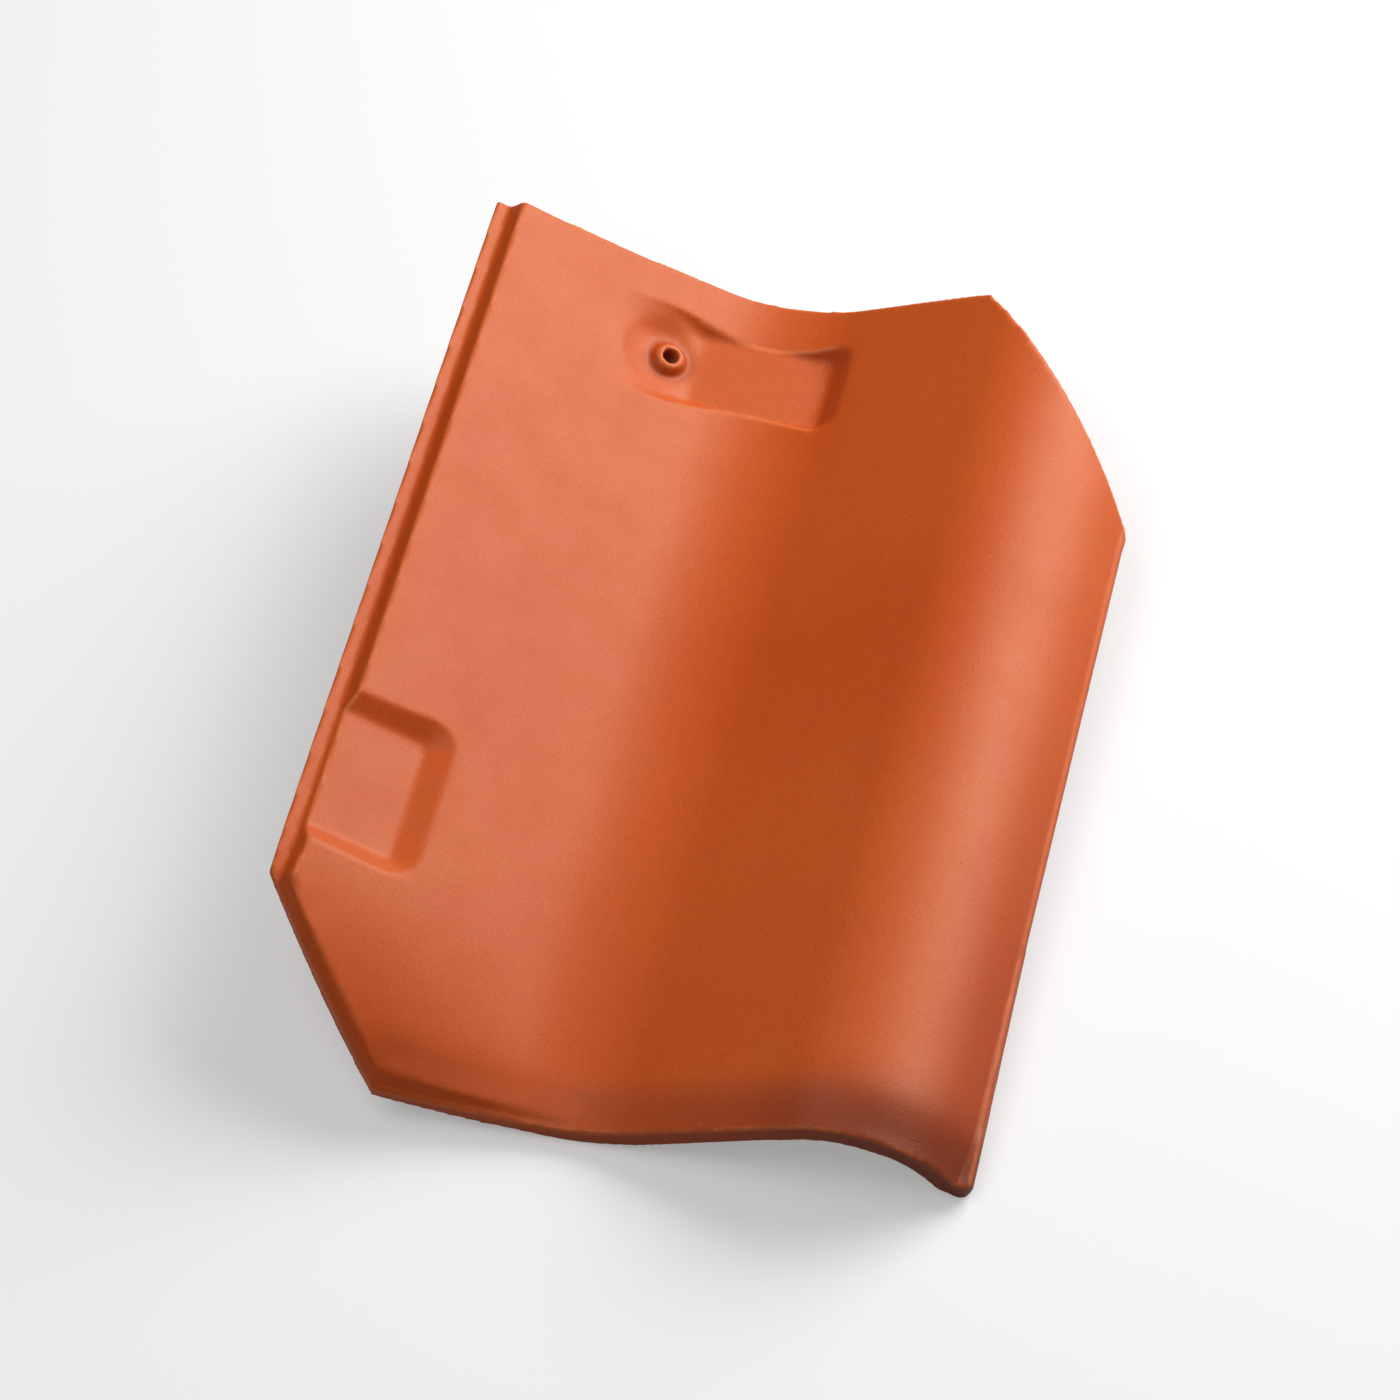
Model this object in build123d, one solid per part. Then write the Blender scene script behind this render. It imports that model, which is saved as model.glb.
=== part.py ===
from build123d import *
import math
import os

# A pressed clay roof tile of S section: a shallow pan on the left, a trough, and a roll on the right.
# It is drawn as it lies on a roof: x runs from the left edge, y from the foot to the head, z up.
# At the end it is turned to lie as it rests on a level floor. Lengths are in millimetres, angles in degrees.

# Section, along the top face from the pan to the rim of the roll
length = 350.0
thickness = 10.5
trough_x = 103.8
trough_radius = 63.2
pan_angle = 12.0
pan_radius = 680.0
flank_angle = 32.7
flank_length = 58.5
roll_radius = 47.6
rim_angle = 49.5

# Rim of the roll: a level margin that widens to the foot, a face with some draft and a rounded nose
margin_width = 1.2
foot_margin_width = 2.6
rim_draft_width = 1.4
rim_height = 10.0
nose_radius = 5.0
foot_corner_radius = 4.0

# Towards the foot the pan flattens out until its inner end leans the other way
foot_pan_angle = -5.6
flare_length = 90.0

# The top face dips to a thinner lip at the foot
lip_depth = 2.5
dip_length = 20.0

# Sections that each curved stretch is drawn through
stretch_steps = 4

# Cut corners: at the foot of the pan and at the head of the roll
foot_cut_width = 52.5
foot_cut_length = 56.0
foot_cut_bulge = 1.4
head_cut_width = 68.5
head_cut_length = 82.4

# Ledge that the next tile's roll covers, along the left edge, the cut corner and the foot
ledge_width = 5.5
ledge_depth = 6.8
ledge_end_x = 130.0
cut_rim_width = 0.4
foot_rim_width = 2.0
ledge_wall_angle = 43.0

# Clip recess in the pan, open towards the ledge
recess_y = 99.3
recess_width = 34.0
recess_length = 47.0
recess_depth = 4.0
recess_wall_angle = 60.0
recess_corner_radius = 2.5

# Flat-floored pocket in the trough above the nib
pocket_x = 110.0
pocket_from_head = 36.6
pocket_width = 49.0
pocket_length = 31.0
pocket_floor_z = 0.2
pocket_tilt_angle = 4.0
pocket_wall_angle = 35.0
pocket_left_angle = 66.0
pocket_corner_radius = 2.5

# Nib under the pocket, which hooks over the batten
nib_width = 46.0
nib_thickness = 18.0
nib_drop = 15.0
nib_draft_angle = 5.0
nib_root_margin = 4.5
nib_root_angle = 22.0
nib_root_cover = 10.0

# Nail seat: a dish in the pan with a raised collar round the nail hole
nail_x = 76.6
nail_hole_radius = 3.0
seat_radius = 20.0
seat_depth = 5.2
collar_base_radius = 7.5
collar_top_radius = 4.8
collar_height = 4.2

# Room past the faces of the tile for the cuts that pass right through
clear = 20.0
ceiling = 120.0


def square_to(slope):
    """Unit vector square to the section where it climbs to the right by this many degrees."""
    return Vector(-math.sin(math.radians(slope)), 0, math.cos(math.radians(slope)))


def along(slope):
    """Unit vector along the section where it climbs to the right by this many degrees."""
    return Vector(math.cos(math.radians(slope)), 0, math.sin(math.radians(slope)))


trough_centre = Vector(trough_x, 0, trough_radius)
flank_start = trough_centre - square_to(flank_angle) * trough_radius
flank_end = flank_start + along(flank_angle) * flank_length
roll_centre = flank_end - square_to(flank_angle) * roll_radius
rim_top = roll_centre + square_to(-rim_angle) * roll_radius
rim_bottom_z = rim_top.Z - rim_height
width = rim_top.X + margin_width + rim_draft_width
pocket_y = length - pocket_from_head


def pan_angle_at(y):
    """The pan's slope where it meets the trough, at this distance from the foot."""
    flare = max(0.0, 1 - y / flare_length) ** 3
    return pan_angle + (foot_pan_angle - pan_angle) * flare


def pan_centre_at(y):
    """The centre of the pan's arc at this distance from the foot."""
    return trough_centre + square_to(-pan_angle_at(y)) * (pan_radius - trough_radius) + Vector(0, y, 0)


def dip_at(y):
    """How far the top face has dipped at this distance from the foot."""
    share = min(1.0, max(0.0, y / dip_length))
    return lip_depth * (1 + math.cos(math.pi * share)) / 2


def rim_right(y):
    """Where the rim's nose stands furthest right, at this distance from the foot."""
    share = max(0.0, 1 - max(0.0, y) / flare_length)
    return width + (foot_margin_width - margin_width) * share


def surface_line(y, depth):
    """The section line at this distance from the foot and depth below the plain top face, left to right."""
    slope = pan_angle_at(y)
    pan_centre = pan_centre_at(y)
    left_slope = math.degrees(math.asin((-clear - pan_centre.X) / (pan_radius + depth)))
    place = Vector(0, y, 0)

    def on_pan(angle):
        return pan_centre - square_to(angle) * (pan_radius + depth)

    def on_trough(angle):
        return trough_centre - square_to(angle) * (trough_radius + depth) + place

    def on_roll(angle):
        return roll_centre + square_to(angle) * (roll_radius - depth) + place

    return [
        ThreePointArc(on_pan(left_slope), on_pan((left_slope - slope) / 2), on_pan(-slope)),
        ThreePointArc(on_trough(-slope), on_trough((flank_angle - slope) / 2), on_trough(flank_angle)),
        Line(on_trough(flank_angle), on_roll(flank_angle)),
        ThreePointArc(on_roll(flank_angle), on_roll((flank_angle - rim_angle) / 2), on_roll(-rim_angle)),
    ]


def rim_line(y, top_end, under_end):
    """The section line round the rim, from the end of the top face to the end of the underside."""
    face_top = Vector(rim_right(y) - rim_draft_width, y, top_end.Z)
    nose_centre = Vector(rim_right(y) - nose_radius, y, rim_bottom_z + nose_radius)
    nose_start = nose_centre + along(0) * nose_radius
    nose_end = nose_centre + along(-90) * nose_radius
    return [
        Line(top_end, face_top),
        Line(face_top, nose_start),
        ThreePointArc(nose_start, nose_centre + along(-45) * nose_radius, nose_end),
        Line(nose_end, under_end),
    ]


def pan_point(x, y):
    """The point of the pan's top face here."""
    centre = pan_centre_at(y)
    radius = pan_radius + dip_at(y)
    return Vector(x, y, centre.Z - math.sqrt(radius**2 - (x - centre.X) ** 2))


def drawn_out(section, spare):
    """A solid with this section: it changes over the dip and the flare, then runs plain past the head."""
    steps = range(stretch_steps + 1)
    dip = [section(dip_length * k / stretch_steps) for k in steps]
    flare = [section(dip_length + (flare_length - dip_length) * k / stretch_steps) for k in steps]
    plain = extrude(section(flare_length), length - flare_length + spare, dir=(0, 1, 0))
    solid = loft(dip) + loft(flare) + plain
    if spare:
        solid = solid + extrude(section(0), spare, dir=(0, -1, 0))
    return solid


def space_over(line, y):
    """A section of the open space over a line, up to a level ceiling."""
    left = line[0] @ 0
    right = line[-1] @ 1
    left_top = Vector(left.X, y, ceiling)
    right_top = Vector(right.X, y, ceiling)
    sides = [Line(right, right_top), Line(right_top, left_top), Line(left_top, left)]
    return Face(Wire(line + sides))


def sheet():
    """The S-shaped sheet at full length, with its pan left long."""

    def section(y):
        top = surface_line(y, dip_at(y))
        under = surface_line(y, thickness)
        rim = rim_line(y, top[-1] @ 1, under[-1] @ 1)
        return Face(Wire(top + rim + under + [Line(under[0] @ 0, top[0] @ 0)]))

    return drawn_out(section, 0)


def space_above():
    """The space above the top face."""
    return drawn_out(lambda y: space_over(surface_line(y, dip_at(y)), y), clear)


def ledge_drop(x):
    """How far the ledge's floor lies below the pan at this distance from the left edge."""
    return ledge_depth * (1 - x / ledge_end_x)


def ledge_space():
    """The space over the ledge's floor, which is the pan's face tilted down about the ledge's end."""
    tilt = math.degrees(math.atan(ledge_depth / ledge_end_x))
    hinge_z = trough_radius - math.sqrt(trough_radius**2 - (ledge_end_x - trough_x) ** 2)

    def section(y):
        hinge = Axis((ledge_end_x, y, hinge_z - dip_at(y)), (0, 1, 0))
        line = [edge.rotate(hinge, -tilt) for edge in surface_line(y, dip_at(y))[:2]]
        return space_over(line, y)

    return drawn_out(section, clear)


def upright_prism(plan):
    """A prism over this plan, taller than the tile."""
    return extrude(Pos(0, 0, -ceiling) * plan, 2 * ceiling)


def outline():
    """The room inside the tile's left edge and its two cut corners."""
    right = width + clear
    head_cut_run = head_cut_length / head_cut_width
    cut_start = Vector(0, foot_cut_length)
    cut_end = Vector(foot_cut_width, 0)
    outwards = Vector(0, 0, 1).cross(cut_start - cut_end).normalized()
    cut = ThreePointArc(cut_start, (cut_start + cut_end) / 2 + outwards * foot_cut_bulge, cut_end)
    past_foot = cut_end + (cut % 1) * clear
    others = Polyline(
        cut_end,
        past_foot,
        (right, past_foot.Y),
        (right, length - head_cut_length - clear * head_cut_run),
        (width - head_cut_width - clear / head_cut_run, length + clear),
        (0, length + clear),
        cut_start,
    )
    return upright_prism(make_face(cut + others))


def foot_corner_space():
    """The room outside the rounded corner where the rim meets the foot."""
    centre = Pos(rim_right(0) - foot_corner_radius, foot_corner_radius)
    corner = centre * Rectangle(clear, clear, align=(Align.MIN, Align.MAX))
    return upright_prism(corner - centre * Circle(foot_corner_radius))


def leaning_wall(start, end):
    """The plane of a ledge wall that rises from this line, leaning away from the tile's edge on its right."""
    run = (end - start).normalized()
    inwards = Vector(0, 0, 1).cross(run).normalized()
    up = run.cross(inwards)
    lean = math.radians(ledge_wall_angle)
    return Plane(origin=start, x_dir=run, z_dir=inwards * math.cos(lean) - up * math.sin(lean))


def raised_pan():
    """All the room inside the ledge's three walls."""
    floor_z = pan_point(ledge_width, length).Z - ledge_drop(ledge_width)
    corner_z = pan_point(0, foot_cut_length).Z - ledge_drop(0)
    foot_z = pan_point(foot_cut_width, 0).Z - ledge_drop(foot_cut_width)
    cut_run = Vector(foot_cut_width, -foot_cut_length, 0).normalized()
    inset = Vector(0, 0, 1).cross(cut_run) * cut_rim_width
    walls = [
        leaning_wall(Vector(ledge_width, length, floor_z), Vector(ledge_width, 0, floor_z)),
        leaning_wall(
            Vector(0, foot_cut_length, corner_z) + inset,
            Vector(foot_cut_width, 0, foot_z) + inset,
        ),
        leaning_wall(Vector(foot_cut_width, foot_rim_width, foot_z), Vector(width, foot_rim_width, foot_z)),
    ]
    room = Pos(length / 2, length / 2, 0) * Box(4 * length, 4 * length, 4 * ceiling)
    for wall in walls:
        room = split(room, bisect_by=wall, keep=Keep.TOP)
    return room


def frustum(base, wall_angle, height):
    """A block on this base whose walls lean outwards by this angle from upright."""
    return extrude(base, height, taper=-wall_angle)


def pan_place(x, y, depth):
    """A place below the pan's top face, square to it."""
    point = pan_point(x, y)
    face_normal = (pan_centre_at(y) - point).normalized()
    return Plane(origin=point - face_normal * depth, x_dir=Vector(0, 1, 0).cross(face_normal), z_dir=face_normal)


def clip_recess():
    """The shallow recess with leaning walls, open to the ledge on its left."""
    base_width = ledge_width + recess_width + clear
    centre_x = ledge_width + recess_width - base_width / 2
    base = RectangleRounded(base_width, recess_length, recess_corner_radius)
    return pan_place(centre_x, recess_y, recess_depth) * frustum(base, recess_wall_angle, recess_depth + clear)


pocket_place = Plane((pocket_x, pocket_y, pocket_floor_z)).rotated((0, -pocket_tilt_angle, 0))


def pocket():
    """The pocket in the trough: its floor climbs a little to the right, and its left wall leans the most."""
    height = ceiling / 2
    reach = height * math.tan(math.radians(pocket_wall_angle))
    left_reach = height * math.tan(math.radians(pocket_left_angle))
    base = RectangleRounded(pocket_width, pocket_length, pocket_corner_radius)
    mouth_width = pocket_width + reach + left_reach
    mouth = RectangleRounded(mouth_width, pocket_length + 2 * reach, pocket_corner_radius + reach)
    return pocket_place * loft([base, Pos((reach - left_reach) / 2, 0, height) * mouth], ruled=True)


nail_place = pan_place(nail_x, pocket_y, 0)
collar_top = seat_depth - collar_height


def nail_seat():
    """A round dish in the pan about the nail hole."""
    bowl_radius = (seat_radius**2 + seat_depth**2) / (2 * seat_depth)
    return nail_place * Pos(0, 0, bowl_radius - seat_depth) * Sphere(bowl_radius)


def collar():
    """The raised cone round the nail hole, rooted below the dish."""
    slope = (collar_base_radius - collar_top_radius) / collar_height
    root = (thickness - seat_depth) / 2
    height = collar_height + root
    cone = Cone(collar_top_radius + slope * height, collar_top_radius, height)
    return nail_place * Pos(0, 0, -collar_top - height / 2) * cone


def nail_hole():
    """The nail hole through collar and pan, square to the pan."""
    return nail_place * Cylinder(nail_hole_radius, 2 * clear)


nib_height = nib_root_margin + nib_root_cover + nib_drop


def nib():
    """The root that fills in under the pocket, and the lug that hangs from it."""
    top = pocket_place.origin + pocket_place.z_dir * nib_root_margin
    hanging = Plane(origin=top, x_dir=pocket_place.x_dir, z_dir=-pocket_place.z_dir)
    root_base = Rectangle(pocket_width + 2 * nib_root_margin, pocket_length + 2 * nib_root_margin)
    root = frustum(root_base, -nib_root_angle, nib_root_margin + nib_root_cover)
    lug = frustum(Rectangle(nib_width, nib_thickness), -nib_draft_angle, nib_height)
    return hanging * (root + lug)


def nib_corner(side, end):
    """A bottom corner of the lug: side -1 is left and 1 right, end -1 is towards the foot and 1 the head."""
    taper = nib_height * math.tan(math.radians(nib_draft_angle))
    x = side * (nib_width / 2 - taper)
    y = end * (nib_thickness / 2 - taper)
    return pocket_place.from_local_coords(Vector(x, y, nib_root_margin - nib_height))


def laid_tile():
    """The tile as it lies on a roof."""
    body = (sheet() & outline()) - foot_corner_space()
    body = body - (ledge_space() - raised_pan())
    body = body + (nib() - space_above())
    body = body - clip_recess() - nail_seat() - pocket()
    body = body + collar()
    return body - nail_hole()


def floor_plane():
    """The level floor: it touches the trough and the rim's nose near the foot, and a corner of the nib."""
    under_radius = trough_radius + thickness
    y = foot_corner_radius
    nose_centre = Vector(rim_right(y) - nose_radius, 0, rim_bottom_z + nose_radius)
    across = nose_centre - trough_centre
    bearing = math.degrees(math.atan2(across.Z, across.X))
    roll = bearing + math.degrees(math.asin((under_radius - nose_radius) / across.length))
    nose_touch = nose_centre - square_to(roll) * nose_radius + Vector(0, y, 0)
    best = None
    for side in (-1, 1):
        for end in (-1, 1):
            corner = nib_corner(side, end) - nose_touch
            pitch = math.atan2(-corner.dot(square_to(roll)), corner.Y)
            if best is None or pitch > best[0]:
                best = (pitch, corner)
    up = along(roll).cross(best[1]).normalized()
    return Plane(origin=nose_touch, x_dir=Vector(0, 1, 0).cross(up), z_dir=up)


laid = laid_tile()
floor = floor_plane()
resting = floor.to_local_coords(laid)
box = resting.bounding_box()
centring = Vector(-box.center().X, -box.center().Y, -box.min.Z)
resting = Pos(centring) * resting

os.makedirs("parts", exist_ok=True)
export_step(resting, "parts/tile.step")


def report(name, point, direction):
    """Print where a point and a direction of the laid tile are on the resting one."""
    place = floor.to_local_coords(point) + centring
    turned = floor.to_local_coords(point + direction) + centring - place
    print(name, [round(v, 3) for v in place], [round(v, 5) for v in turned])


nail_axis = nail_place.z_dir
report("middle of the nail hole", nail_place.origin - nail_axis * (collar_top + thickness) / 2, nail_axis)
nib_middle = -nib_root_cover - nib_drop / 2
nib_lean = math.radians(nib_draft_angle)
nib_face_y = -nib_thickness / 2 + (nib_root_margin - nib_middle) * math.tan(nib_lean)
nib_face = pocket_place.from_local_coords(Vector(0, nib_face_y, nib_middle))
nib_face_normal = -pocket_place.y_dir * math.cos(nib_lean) - pocket_place.z_dir * math.sin(nib_lean)
report("nib's bearing face", nib_face, nib_face_normal)
report("corner of the laid tile, and its x axis", Vector(0, 0, 0), Vector(1, 0, 0))
report("corner of the laid tile, and its y axis", Vector(0, 0, 0), Vector(0, 1, 0))
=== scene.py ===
import math

import bmesh
import bpy
from mathutils import Matrix, Vector, noise
from mathutils.kdtree import KDTree


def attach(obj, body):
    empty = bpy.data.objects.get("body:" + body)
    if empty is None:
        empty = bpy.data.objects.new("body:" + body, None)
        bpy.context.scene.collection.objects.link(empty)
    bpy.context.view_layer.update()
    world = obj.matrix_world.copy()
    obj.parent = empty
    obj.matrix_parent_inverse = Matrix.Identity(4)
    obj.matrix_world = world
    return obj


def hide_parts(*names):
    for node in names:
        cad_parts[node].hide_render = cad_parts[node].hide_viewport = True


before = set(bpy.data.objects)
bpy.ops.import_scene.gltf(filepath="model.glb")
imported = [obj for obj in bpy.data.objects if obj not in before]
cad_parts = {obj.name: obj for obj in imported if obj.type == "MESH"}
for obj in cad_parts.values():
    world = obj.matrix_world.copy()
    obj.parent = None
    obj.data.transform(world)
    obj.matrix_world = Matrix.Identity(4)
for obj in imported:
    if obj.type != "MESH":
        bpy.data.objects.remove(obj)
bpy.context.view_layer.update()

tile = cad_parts["tile"]
toMm = 1000.0
toMetres = 0.001
white = (1.0, 1.0, 1.0, 1.0)

# How the tile lies on the floor: where its left edge and its foot would cross without the cut corner,
# and the ways along its width and its length
lie = {
    "corner": Vector((-0.127951, -0.175855, 0.036696)),
    "across": Vector((0.97184, 0.01324, -0.23527)).normalized(),
    "along": Vector((0.0, 0.99842, 0.05619)).normalized(),
}
lie["up"] = lie["across"].cross(lie["along"]).normalized()


def tilePlace(point):
    # a frame point as millimetres across, along and above the tile
    gap = (point - lie["corner"]) * toMm
    return gap.dot(lie["across"]), gap.dot(lie["along"]), gap.dot(lie["up"])


def framePlace(across, along, above):
    # millimetres on the tile as a frame point
    return lie["corner"] + (lie["across"] * across + lie["along"] * along + lie["up"] * above) * toMetres


def clamped(value):
    return min(1.0, max(0.0, value))


def stepped(value, low, high):
    # 0 below low, 1 above high, eased between them
    share = clamped((value - low) / (high - low))
    return share * share * (3.0 - 2.0 * share)


# Camera, at the photograph's viewing angle
cameraView = {
    "place": (0.41735, -1.00586, 1.3715),
    "aim": (-0.00984, 0.0006, 0.01824),
    "turn": -11.171,  # degrees about the line of sight
    "lens": 128.2,
    "sensor": 36.0,
    "nearest": 0.05,  # it sees what lies between these two
    "farthest": 50.0,
}
cameraData = bpy.data.cameras.new("photoCamera")
cameraData.lens = cameraView["lens"]
cameraData.sensor_width = cameraView["sensor"]
cameraData.clip_start = cameraView["nearest"]
cameraData.clip_end = cameraView["farthest"]
camera = bpy.data.objects.new("photoCamera", cameraData)
bpy.context.scene.collection.objects.link(camera)
sight = Vector(cameraView["aim"]) - Vector(cameraView["place"])
aimed = sight.to_track_quat("-Z", "Y").to_matrix().to_4x4()
rolled = Matrix.Rotation(math.radians(cameraView["turn"]), 4, "Z")
camera.matrix_world = Matrix.Translation(Vector(cameraView["place"])) @ aimed @ rolled
bpy.context.scene.camera = camera
print("camera placed")

# The tile's finer skin, with the soft edges of pressed clay
skinShape = {
    "grain": 0.001,  # size of the mesh before thinning
    "samePoint": 0.000002,  # corners of the solid's mesh closer than this are one
    "edgeAngle": 18.0,  # degrees between faces that meet in an edge
    "highlightAngle": 55.0,  # degrees, for raised edges that get a painted highlight
    "edgeSpacing": 0.0006,  # between the points that stand for an edge
    "edgeReach": (0.0025, 0.0075),  # from an edge, where the open face's smoothing starts and is full
    "highlightReach": (0.0003, 0.0014),  # from a raised edge, where the painted highlight starts to fade and ends
    "smoothing": 0.5,  # strength of each pass
    "edgePasses": 5,  # how softly every edge is rounded
    "plainPasses": 70,  # how smooth the open faces are
    "softPasses": 26,  # the same, for places with softer walls
    "softFacing": 0.2,  # only faces that look up this much are softened further
    "softPlaces": (
        # middle across and along, half sizes, fade (all mm on the tile), how soft
        (74.0, 313.0, 15.0, 15.0, 7.0, 1.0),  # round the nail collar
        (110.0, 313.0, 24.0, 15.0, 5.0, 0.16),  # pocket over the nib
        (136.0, 313.0, 5.0, 15.0, 6.0, 0.7),  # where the pocket runs into the roll
        (31.0, 99.0, 18.0, 27.0, 5.0, 0.5),  # recess by the left edge
    ),
    "nailMiddle": (-0.055038, 0.138105, 0.035552),  # middle of the nail hole
    "nailAxis": (0.45155, -0.05013, 0.89083),  # the way it points
    # the next three are from the nail axis, in mm
    "boreKept": (3.6, 5.0),  # nearer than this the bore keeps its size
    "collarKept": (8.0, 10.5),  # nearer than this the collar's own edges stay
    "hollowStart": (7.5, 10.5),  # where the hollow beside the collar starts and is full
    "hollow": (69.0, 321.5, 17.0, 9.5, 1.4),  # its middle, half sizes and depth, in mm on the tile
    "hollowFacing": 0.3,  # only faces that look up this much are pressed in
    "boreRounding": 0.15,  # the share of the edge passes that the bore gets
    "unevenness": 0.00002,  # how far the clay waves in and out
    "waves": ((22.0, 0.7), (60.0, 0.3)),  # scale and share of each size of wave
    "waveMiddle": 0.6,  # taken off, so that the clay mostly waves inwards
    "trianglesAtMost": 190000,
}

# The ledge narrows and gets shallower round the foot corner; all in mm on the tile
cornerLedge = {
    "cut": (52.5, 56.0),  # the cut corner, across and along
    "cutBulge": 1.4,  # how far the middle of the cut bows out
    "cutDepth": (5.8, 3.8),  # of the ledge, where the cut starts and where it meets the foot
    "cutWall": (0.4, 3.4),  # from the outline to the wall's bottom and top
    "footDepth": 3.6,  # where the foot starts; it runs out towards fadeOut
    "footWall": (2.2, 3.9),
    "fadeOut": 130.0,  # across, where the foot's ledge has run out
    "blendIn": (4.0, 13.0),  # across, where the left ledge gives way
    "plainFrom": 11.5,  # from the outline to the open face
    "slopeSpan": 4.0,  # over which the open face's slope is read
    "edgeInset": 0.8,  # the sheet's thickness is read no nearer to the outline than this
    "thinnest": 0.5,  # a thinner sheet than this is a miss
    "outside": -1.5,  # a point farther out than this is left alone
    "lookFrom": 80.0,  # heights are looked for from this far above or below
    "softMost": 0.7,  # how soft the foot of the open face gets
    "softFrom": (4.0, 6.0),  # from the outline, where that starts and is full
    "softTo": (12.0, 14.0),  # and where it fades and ends
    "softAcross": (12.0, 18.0),
    "softPast": 6.0,  # how far it goes on past the end of the ledge
}


def applied(piece):
    # the piece's mesh with its modifiers worked in
    bpy.context.view_layer.update()
    shaped = piece.evaluated_get(bpy.context.evaluated_depsgraph_get())
    done = bpy.data.meshes.new_from_object(shaped)
    before = piece.data
    piece.modifiers.clear()
    piece.data = done
    bpy.data.meshes.remove(before)
    done.name = piece.name


def edgeTree(bm, leastAngle, raisedOnly):
    # points along the sharp edges, to be searched; raised edges are those that stick out
    points = []
    for edge in bm.edges:
        angle = edge.calc_face_angle_signed(0.0)
        if abs(angle) < math.radians(leastAngle) or (raisedOnly and angle < 0):
            continue
        start, end = edge.verts[0].co, edge.verts[1].co
        count = max(1, int((end - start).length / skinShape["edgeSpacing"]))
        points += [start.lerp(end, k / count) for k in range(count + 1)]
    tree = KDTree(len(points))
    for number, point in enumerate(points):
        tree.insert(point, number)
    tree.balance()
    return tree


def fromOutline(across, along):
    # how far a point lies inside the cut and inside the foot edge
    wide, high = cornerLedge["cut"]
    length = math.hypot(wide, high)
    run = clamped((across * wide - (along - high) * high) / length**2)
    inCut = (across * high + (along - high) * wide) / length
    return inCut + cornerLedge["cutBulge"] * (1.0 - (2.0 * run - 1.0) ** 2), along


def tileHeight(across, along, side):
    # height of the tile's upper (1) or under (-1) side
    start = framePlace(across, along, cornerLedge["lookFrom"] * side)
    hit, place = tile.ray_cast(start, lie["up"] * -side)[:2]
    return tilePlace(place)[2] if hit else None


def narrowerLedge(point):
    # how far up a point of the skin goes, in mm
    across, along, above = tilePlace(point)
    inCut, inFoot = fromOutline(across, along)
    inEdge = min(inCut, inFoot)
    plain, fadeOut = cornerLedge["plainFrom"], cornerLedge["fadeOut"]
    if across > fadeOut or not cornerLedge["outside"] <= inEdge <= plain:
        return 0.0

    # the way to the open face, its height there and how it slopes
    wide, high = cornerLedge["cut"]
    move = Vector((high, wide)) / math.hypot(wide, high) * max(0.0, plain - inCut)
    move.y += max(0.0, plain - inFoot - move.y)
    away = move.normalized()
    inner = Vector((across, along)) + move
    span = cornerLedge["slopeSpan"]
    near = tileHeight(inner.x, inner.y, 1)
    far = tileHeight(inner.x + away.x * span, inner.y + away.y * span, 1)

    # both sides of the tile at the point
    edge = Vector((across, along)) + away * max(0.0, cornerLedge["edgeInset"] - inEdge)
    top, under = tileHeight(edge.x, edge.y, 1), tileHeight(edge.x, edge.y, -1)
    if None in (near, far, top, under) or top - under < cornerLedge["thinnest"]:
        return 0.0

    sheet = near + (near - far) / span * move.length
    run = clamped(across / wide)
    cutDepth = cornerLedge["cutDepth"][0] * (1.0 - run) + cornerLedge["cutDepth"][1] * run
    footDepth = cornerLedge["footDepth"] * clamped((fadeOut - across) / (fadeOut - wide))
    drop = max(
        cutDepth * (1.0 - stepped(inCut, *cornerLedge["cutWall"])),
        footDepth * (1.0 - stepped(inFoot, *cornerLedge["footWall"])),
    )
    # the upper side takes the whole lift, the underside none
    share = clamped((above - under) / (top - under))
    return max(0.0, sheet - drop - top) * share * stepped(across, *cornerLedge["blendIn"])


def fromNailAxis(point):
    # in mm
    fromMiddle = point - Vector(skinShape["nailMiddle"])
    return fromMiddle.cross(Vector(skinShape["nailAxis"]).normalized()).length * toMm


def pressedIn(point):
    # how far a point of the upper side is pressed down beside the nail collar, in mm
    across, along = tilePlace(point)[:2]
    middleX, middleY, halfX, halfY, depth = skinShape["hollow"]
    away = math.hypot((across - middleX) / halfX, (along - middleY) / halfY)
    if away > 1.0:
        return 0.0
    return depth * (1.0 - away * away) ** 2 * stepped(fromNailAxis(point), *skinShape["hollowStart"])


def softShare(point):
    # how much of the extra softening a point of the upper side gets
    across, along = tilePlace(point)[:2]
    share = 0.0
    for middleX, middleY, halfX, halfY, fade, most in skinShape["softPlaces"]:
        outX = max(0.0, abs(across - middleX) - halfX)
        outY = max(0.0, abs(along - middleY) - halfY)
        share = max(share, most * (1.0 - stepped(math.hypot(outX, outY), 0.0, fade)))
    if across < cornerLedge["fadeOut"] + cornerLedge["softPast"]:
        inEdge = min(fromOutline(across, along))
        band = cornerLedge["softMost"] * stepped(inEdge, *cornerLedge["softFrom"])
        band *= 1.0 - stepped(inEdge, *cornerLedge["softTo"])
        share = max(share, band * stepped(across, *cornerLedge["softAcross"]))
    return share * stepped(fromNailAxis(point), *skinShape["collarKept"])


bm = bmesh.new()
bm.from_mesh(tile.data)
bmesh.ops.remove_doubles(bm, verts=bm.verts, dist=skinShape["samePoint"])
nearest = edgeTree(bm, skinShape["edgeAngle"], False)
raised = edgeTree(bm, skinShape["highlightAngle"], True)
skinData = bpy.data.meshes.new("claySkin")
bm.to_mesh(skinData)
bm.free()
skin = bpy.data.objects.new("claySkin", skinData)
bpy.context.scene.collection.objects.link(skin)

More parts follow.
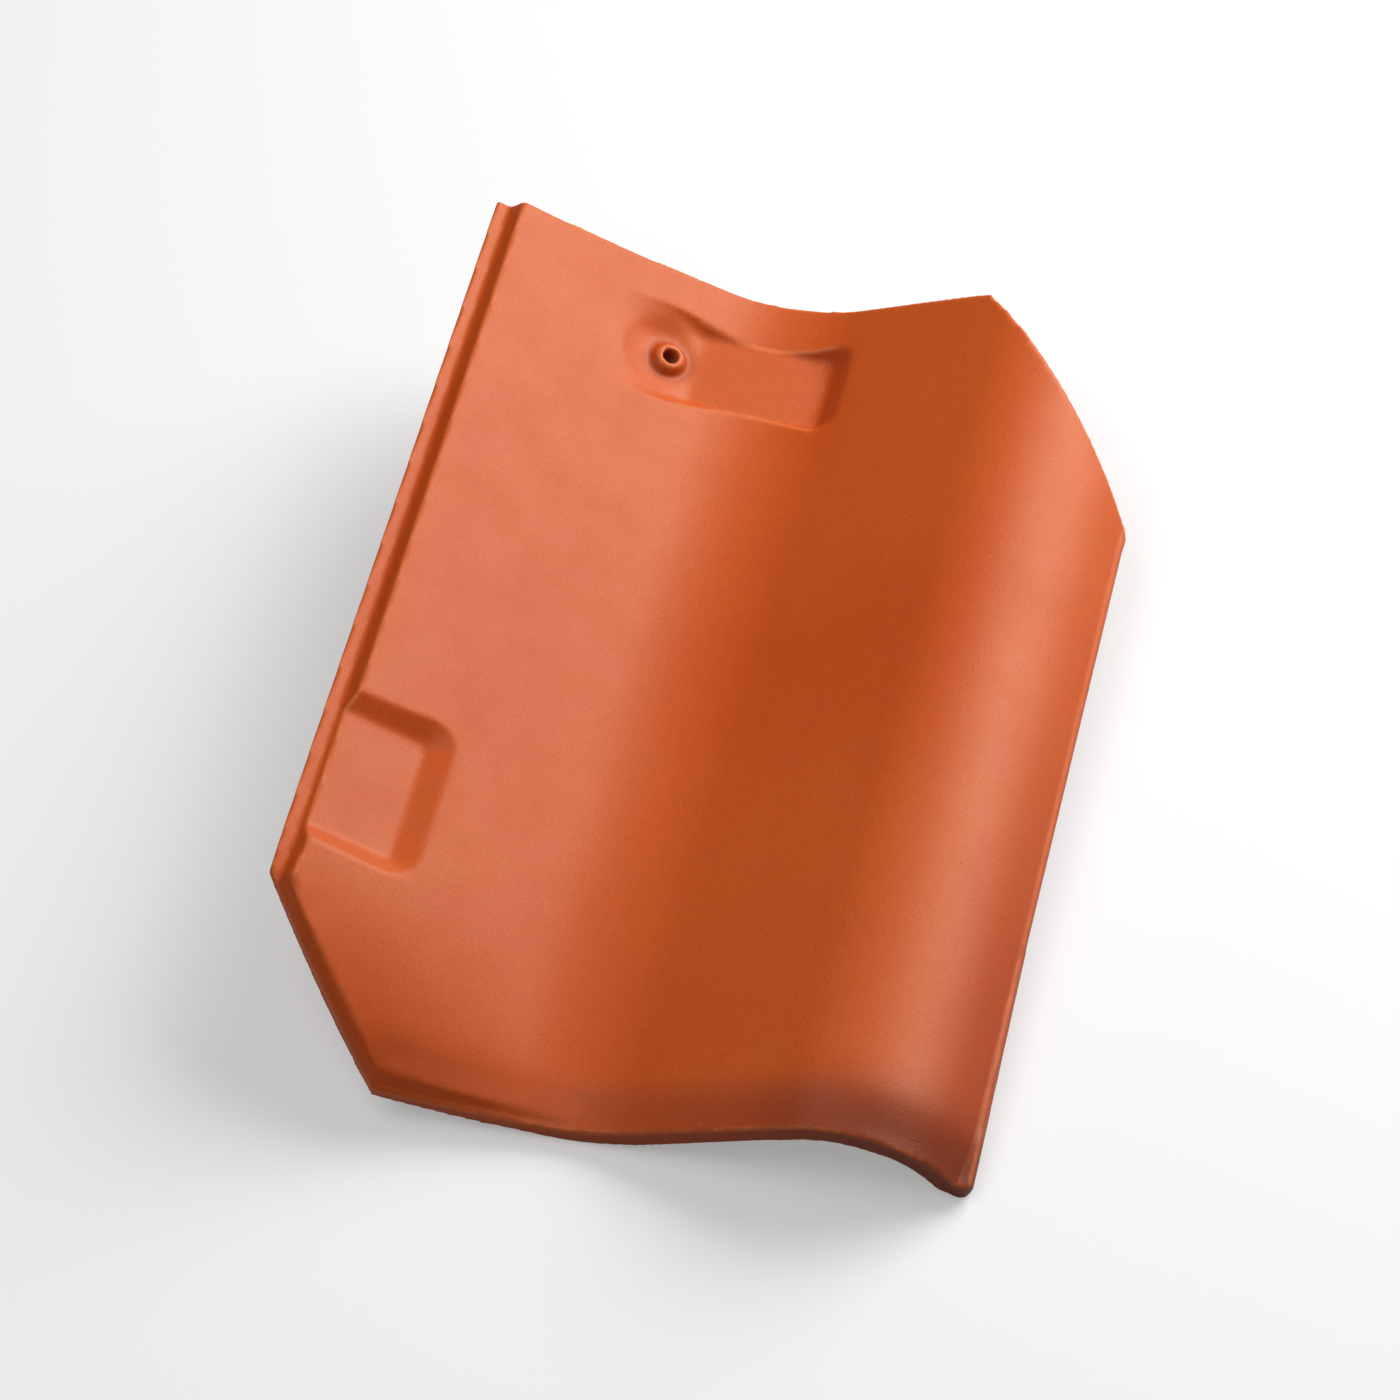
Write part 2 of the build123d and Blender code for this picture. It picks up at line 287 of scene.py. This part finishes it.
remesh = skin.modifiers.new("remesh", "REMESH")
remesh.mode = "VOXEL"
remesh.voxel_size = skinShape["grain"]
hug = skin.modifiers.new("hug", "SHRINKWRAP")
hug.target = tile
hug.wrap_method = "NEAREST_SURFACEPOINT"
applied(skin)
print("skin remeshed:", len(skin.data.vertices), "points")

bm = bmesh.new()
bm.from_mesh(skin.data)
raisedPoints = 0
for vertex in bm.verts:
    lift = narrowerLedge(vertex.co)
    if lift > 0:
        raisedPoints += 1
    elif vertex.normal.dot(lie["up"]) > skinShape["hollowFacing"]:
        lift = -pressedIn(vertex.co)
    vertex.co += lie["up"] * lift * toMetres
bm.to_mesh(skin.data)
bm.free()
print("ledge narrowed:", raisedPoints, "points")

edges = skin.vertex_groups.new(name="edges")
openFaces = skin.vertex_groups.new(name="openFaces")
softPlaces = skin.vertex_groups.new(name="softPlaces")
normals = [normal.vector.copy() for normal in skin.data.vertex_normals]
boreRounding = skinShape["boreRounding"]
for vertex in skin.data.vertices:
    outsideBore = stepped(fromNailAxis(vertex.co), *skinShape["boreKept"])
    edges.add([vertex.index], boreRounding + (1.0 - boreRounding) * outsideBore, "REPLACE")
    share = stepped(nearest.find(vertex.co)[2], *skinShape["edgeReach"])
    if share > 0:
        openFaces.add([vertex.index], share, "REPLACE")
    if normals[vertex.index].dot(lie["up"]) > skinShape["softFacing"]:
        share = softShare(vertex.co)
        if share > 0:
            softPlaces.add([vertex.index], share, "REPLACE")

for group, passes in ((edges, "edgePasses"), (openFaces, "plainPasses"), (softPlaces, "softPasses")):
    smooth = skin.modifiers.new(group.name, "SMOOTH")
    smooth.factor = skinShape["smoothing"]
    smooth.iterations = skinShape[passes]
    smooth.vertex_group = group.name
applied(skin)
skin.vertex_groups.clear()
print("edges and faces softened")

bm = bmesh.new()
bm.from_mesh(skin.data)
for vertex in bm.verts:
    wave = sum(noise.noise(vertex.co * scale) * share for scale, share in skinShape["waves"])
    vertex.co += vertex.normal * (wave - skinShape["waveMiddle"]) * skinShape["unevenness"]
bm.to_mesh(skin.data)
bm.free()

thin = skin.modifiers.new("thin", "DECIMATE")
triangles = sum(len(face.vertices) - 2 for face in skin.data.polygons)
thin.ratio = min(1.0, skinShape["trianglesAtMost"] / triangles)
applied(skin)
for face in skin.data.polygons:
    face.use_smooth = True
# painted highlight: raised edges are marked for a paler colour in the clay
edgeHighlight = skin.data.attributes.new("edgeHighlight", "FLOAT", "POINT")
for vertex in skin.data.vertices:
    gap = raised.find(vertex.co)[2]
    edgeHighlight.data[vertex.index].value = 1.0 - stepped(gap, *skinShape["highlightReach"])
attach(skin, "root")
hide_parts("tile")
print("skin finished:", len(skin.data.polygons), "faces")

# Fired clay. A range is where a mask starts and ends, and its values there; a noise is its scale,
# detail and roughness
clay = {
    "body": (0.53, 0.073, 0.0062, 1.0),
    "pale": (0.56, 0.090, 0.010, 1.0),
    # burnt tone, also the colour of the painted shade at the foot, the right side and round the collar
    "burntAndShade": (0.37, 0.043, 0.003, 1.0),
    "speck": (0.14, 0.018, 0.006, 1.0),
    # paler clay of the chips, also the painted highlight on raised edges
    "paleHighlight": (0.66, 0.155, 0.045, 1.0),
    # painted shade in the nail bore
    "boreShade": (0.03, 0.008, 0.004, 1.0),
    # painted shade, deepest, in the foot's right corner
    "deepShade": (0.17, 0.019, 0.002, 1.0),
    "sheen": (1.0, 0.88, 0.68, 1.0),
    "shine": 0.45,  # how strongly it reflects
    "roughness": 0.47,
    "roughnessSpread": (-0.02, 0.03),
    "roughnessFrom": (0.3, 0.7),  # values of the mottle that it runs between
    "clouds": (9.0, 3.0, 0.55),
    "paleClouds": (0.35, 0.7),
    "mottle": (55.0, 5.0, 0.6),
    "burntMottle": (0.45, 0.8, 0.0, 0.1),
    # mottle range of the painted highlight on raised edges
    "highlightMottle": (0.3, 0.65, 0.35, 0.9),
    "fine": (900.0, 3.0, 0.7),
    "burntFine": (0.45, 0.75, 0.0, 0.4),
    "sand": (2600.0, 2.0, 0.6),
    # two ranges each, in mm along and across the tile
    # painted shade, darker towards the foot, on the right side and in the foot's right corner
    "footShade": ((4.0, 22.0, 1.0, 0.0), (80.0, 190.0, 0.1, 0.9)),
    "sideShade": ((20.0, 230.0, 1.0, 0.0), (216.0, 248.0, 0.0, 0.85)),
    "cornerShade": ((3.0, 34.0, 0.85, 0.0), (165.0, 225.0, 0.0, 1.0)),
    # ranges from the nail axis, for the painted shade round the collar and in the bore
    "collarShade": ((0.0052, 0.0068), (0.0075, 0.012, 0.75, 0.0)),
    "boreShadeReach": (0.0026, 0.0031, 0.85, 0.0),
    "speckCells": 260.0,  # scale of the cells that specks and chips lie in
    "speckFrom": 0.988,  # cells above this hold a dark speck
    "speckSize": (0.05, 0.16, 0.6, 0.0),
    "chipUpTo": 0.004,  # cells below this hold a pale chip
    "chipSize": (0.04, 0.13, 0.7, 0.0),
    "pits": ((221.9, 57.8, 57.0), (150.8, 120.1, 22.0)),  # mm on the tile
    "pitSize": (0.00036, 0.0009, 1.0, 0.0),
    "pitRagged": (0.3, 0.7, -0.0006, 0.0006),  # range of the fine noise
    "speckShade": 0.8,  # how much of the speck's colour shows
    "relief": (0.6, 0.4, 0.8),  # shares of the fine noise, the sand and the specks
    "grainDepth": 0.0003,
    "grainStrength": 0.5,
}


def node(tree, kind, **values):
    made = tree.nodes.new(kind)
    for name, value in values.items():
        setattr(made, name, value)
    return made


def plug(tree, source, target):
    tree.links.new(source, target)


def fill(tree, target, value):
    # a socket gets a link or a fixed value
    if isinstance(value, bpy.types.NodeSocket):
        plug(tree, value, target)
    else:
        target.default_value = value


def mixed(tree, share, first, second):
    # colour mix; each of the three is a socket or a fixed value, and the numbers are the colour sockets
    mix = node(tree, "ShaderNodeMix", data_type="RGBA")
    for place, value in ((0, share), (6, first), (7, second)):
        fill(tree, mix.inputs[place], value)
    return mix.outputs[2]


def ranged(tree, source, low, high, toLow=0.0, toHigh=1.0):
    span = node(tree, "ShaderNodeMapRange", interpolation_type="SMOOTHSTEP")
    plug(tree, source, span.inputs["Value"])
    span.inputs["From Min"].default_value = low
    span.inputs["From Max"].default_value = high
    span.inputs["To Min"].default_value = toLow
    span.inputs["To Max"].default_value = toHigh
    return span.outputs["Result"]


def noisy(tree, place, scale, detail, roughness):
    made = node(tree, "ShaderNodeTexNoise", noise_dimensions="3D")
    plug(tree, place, made.inputs["Vector"])
    made.inputs["Scale"].default_value = scale
    made.inputs["Detail"].default_value = detail
    made.inputs["Roughness"].default_value = roughness
    return made.outputs["Fac"]


def joined(tree, kind, first, second):
    # arithmetic of two numbers, each a socket or a fixed value
    made = node(tree, "ShaderNodeMath", operation=kind)
    fill(tree, made.inputs[0], first)
    fill(tree, made.inputs[1], second)
    return made.outputs[0]


def vectors(tree, kind, first, second=None):
    # arithmetic of a vector socket and a fixed vector
    made = node(tree, "ShaderNodeVectorMath", operation=kind)
    plug(tree, first, made.inputs[0])
    if second is not None:
        made.inputs[1].default_value = second
    return made.outputs["Vector" if kind in ("SUBTRACT", "CROSS_PRODUCT") else "Value"]


def ramp(tree, place, way, low, high, toLow, toHigh):
    # a share that changes along one way of the tile, between two places given in mm
    start = lie["corner"].dot(lie[way])
    run = vectors(tree, "DOT_PRODUCT", place, lie[way])
    return ranged(tree, run, start + low * toMetres, start + high * toMetres, toLow, toHigh)


def shaded(tree, place, ranges):
    # a share that changes both along and across the tile
    alongTile, acrossTile = ranges
    first = ramp(tree, place, "along", *alongTile)
    return joined(tree, "MULTIPLY", first, ramp(tree, place, "across", *acrossTile))


def specksAndChips(tree, place, fine):
    # masks of the dark specks, pits among them, and of the pale chips
    cells = node(tree, "ShaderNodeTexVoronoi", feature="F1")
    plug(tree, place, cells.inputs["Vector"])
    cells.inputs["Scale"].default_value = clay["speckCells"]
    chosen = node(tree, "ShaderNodeSeparateColor")
    plug(tree, cells.outputs["Color"], chosen.inputs["Color"])
    few = joined(tree, "GREATER_THAN", chosen.outputs["Red"], clay["speckFrom"])
    fewer = joined(tree, "LESS_THAN", chosen.outputs["Red"], clay["chipUpTo"])
    specks = joined(tree, "MULTIPLY", ranged(tree, cells.outputs["Distance"], *clay["speckSize"]), few)
    chips = joined(tree, "MULTIPLY", ranged(tree, cells.outputs["Distance"], *clay["chipSize"]), fewer)
    for pit in clay["pits"]:
        away = vectors(tree, "DISTANCE", place, framePlace(*pit))
        ragged = joined(tree, "ADD", away, ranged(tree, fine, *clay["pitRagged"]))
        specks = joined(tree, "MAXIMUM", specks, ranged(tree, ragged, *clay["pitSize"]))
    return specks, chips


def firedClay():
    material = bpy.data.materials.new("fired_clay")
    material.use_nodes = True
    tree = material.node_tree
    shader = tree.nodes["Principled BSDF"]
    place = node(tree, "ShaderNodeTexCoord").outputs["Object"]

    # clay body, mottled and grainy
    noises = ("clouds", "mottle", "fine", "sand")
    clouds, mottle, fine, sand = (noisy(tree, place, *clay[name]) for name in noises)
    colour = mixed(tree, ranged(tree, clouds, *clay["paleClouds"]), clay["body"], clay["pale"])
    colour = mixed(tree, ranged(tree, mottle, *clay["burntMottle"]), colour, clay["burntAndShade"])
    colour = mixed(tree, ranged(tree, fine, *clay["burntFine"]), colour, clay["burntAndShade"])

    # painted shade: the foot and the right side darkened, most of all where they meet
    shades = ("footShade", "sideShade", "cornerShade")
    foot, side, cornerShadeShare = (shaded(tree, place, clay[name]) for name in shades)
    colour = mixed(tree, joined(tree, "MAXIMUM", foot, side), colour, clay["burntAndShade"])
    # painted shade, deepest in the foot's right corner
    colour = mixed(tree, cornerShadeShare, colour, clay["deepShade"])

    # painted shade: a darker ring round the nail collar
    fromNail = vectors(tree, "SUBTRACT", place, skinShape["nailMiddle"])
    turned = vectors(tree, "CROSS_PRODUCT", fromNail, Vector(skinShape["nailAxis"]).normalized())
    nailGap = vectors(tree, "LENGTH", turned)
    inner, outer = (ranged(tree, nailGap, *reach) for reach in clay["collarShade"])
    colour = mixed(tree, joined(tree, "MULTIPLY", inner, outer), colour, clay["burntAndShade"])

    # painted highlight on raised edges, pale chips, specks, and painted shade in the nail bore
    edgeHighlight = node(tree, "ShaderNodeAttribute", attribute_name="edgeHighlight").outputs["Fac"]
    paleHighlight = joined(tree, "MULTIPLY", edgeHighlight, ranged(tree, mottle, *clay["highlightMottle"]))
    colour = mixed(tree, paleHighlight, colour, clay["paleHighlight"])
    specks, chips = specksAndChips(tree, place, fine)
    colour = mixed(tree, chips, colour, clay["paleHighlight"])
    colour = mixed(tree, joined(tree, "MULTIPLY", specks, clay["speckShade"]), colour, clay["speck"])
    # painted shade: the nail bore darkened
    colour = mixed(tree, ranged(tree, nailGap, *clay["boreShadeReach"]), colour, clay["boreShade"])
    plug(tree, colour, shader.inputs["Base Color"])

    smoothest, roughest = (clay["roughness"] + more for more in clay["roughnessSpread"])
    gloss = ranged(tree, mottle, *clay["roughnessFrom"], smoothest, roughest)
    plug(tree, gloss, shader.inputs["Roughness"])
    shader.inputs["Specular IOR Level"].default_value = clay["shine"]
    shader.inputs["Specular Tint"].default_value = clay["sheen"]

    # fine relief of the grain, with the specks sunk into it
    fineShare, sandShare, speckShare = clay["relief"]
    grainy = joined(tree, "MULTIPLY", fine, fineShare)
    height = joined(tree, "ADD", grainy, joined(tree, "MULTIPLY", sand, sandShare))
    height = joined(tree, "SUBTRACT", height, joined(tree, "MULTIPLY", specks, speckShare))
    bump = node(tree, "ShaderNodeBump")
    bump.inputs["Strength"].default_value = clay["grainStrength"]
    bump.inputs["Distance"].default_value = clay["grainDepth"]
    plug(tree, height, bump.inputs["Height"])
    plug(tree, bump.outputs["Normal"], shader.inputs["Normal"])
    return material


skin.data.materials.clear()
skin.data.materials.append(firedClay())
print("clay mixed")

# Floor and light
studio = {
    "floor": (0.6, 0.6, 0.6, 1.0),
    "floorHalf": 6.0,  # half its side
    "floorRoughness": 0.95,
    "floorGlow": 0.33,  # what the camera alone sees added to the floor
    "backdrop": 1.0,  # the world as the camera sees it
    "air": 0.06,  # the world as it lights the tile
    "lamps": {
        # name: place, aim, size across and high, watts
        "window": ((0.79, 0.95, 0.86), (0.02, 0.05, 0.03), 1.25, 1.05, 32.0),
        "roomSide": ((-0.42, -0.30, 1.41), (0.0, 0.0, 0.03), 1.2, 1.2, 8.6),
    },
}


def seenGlow(tree, seen, unseen, target):
    # a strength that is one value for the camera and another for every other ray
    path = node(tree, "ShaderNodeLightPath").outputs["Is Camera Ray"]
    extra = joined(tree, "MULTIPLY", path, seen - unseen)
    plug(tree, joined(tree, "ADD", extra, unseen), target)


floorData = bpy.data.meshes.new("floor")
bm = bmesh.new()
bmesh.ops.create_grid(bm, x_segments=1, y_segments=1, size=studio["floorHalf"])
bm.to_mesh(floorData)
bm.free()
floor = bpy.data.objects.new("floor", floorData)
bpy.context.scene.collection.objects.link(floor)
floorPaint = bpy.data.materials.new("palePaper")
floorPaint.use_nodes = True
paper = floorPaint.node_tree.nodes["Principled BSDF"]
paper.inputs["Base Color"].default_value = studio["floor"]
paper.inputs["Roughness"].default_value = studio["floorRoughness"]
paper.inputs["Specular IOR Level"].default_value = 0.0
paper.inputs["Emission Color"].default_value = white
seenGlow(floorPaint.node_tree, studio["floorGlow"], 0.0, paper.inputs["Emission Strength"])
floorData.materials.append(floorPaint)

world = bpy.data.worlds.new("studio")
world.use_nodes = True
backdrop = world.node_tree.nodes["Background"]
backdrop.inputs["Color"].default_value = white
seenGlow(world.node_tree, studio["backdrop"], studio["air"], backdrop.inputs["Strength"])
bpy.context.scene.world = world

for name, (place, aim, across, high, watts) in studio["lamps"].items():
    lampData = bpy.data.lights.new(name, "AREA")
    lampData.shape = "RECTANGLE"
    lampData.size = across
    lampData.size_y = high
    lampData.energy = watts
    lamp = bpy.data.objects.new(name, lampData)
    bpy.context.scene.collection.objects.link(lamp)
    lamp.location = place
    lamp.rotation_euler = (Vector(aim) - Vector(place)).to_track_quat("-Z", "Y").to_euler()
bpy.context.scene.view_settings.view_transform = "Standard"
print("studio lit")
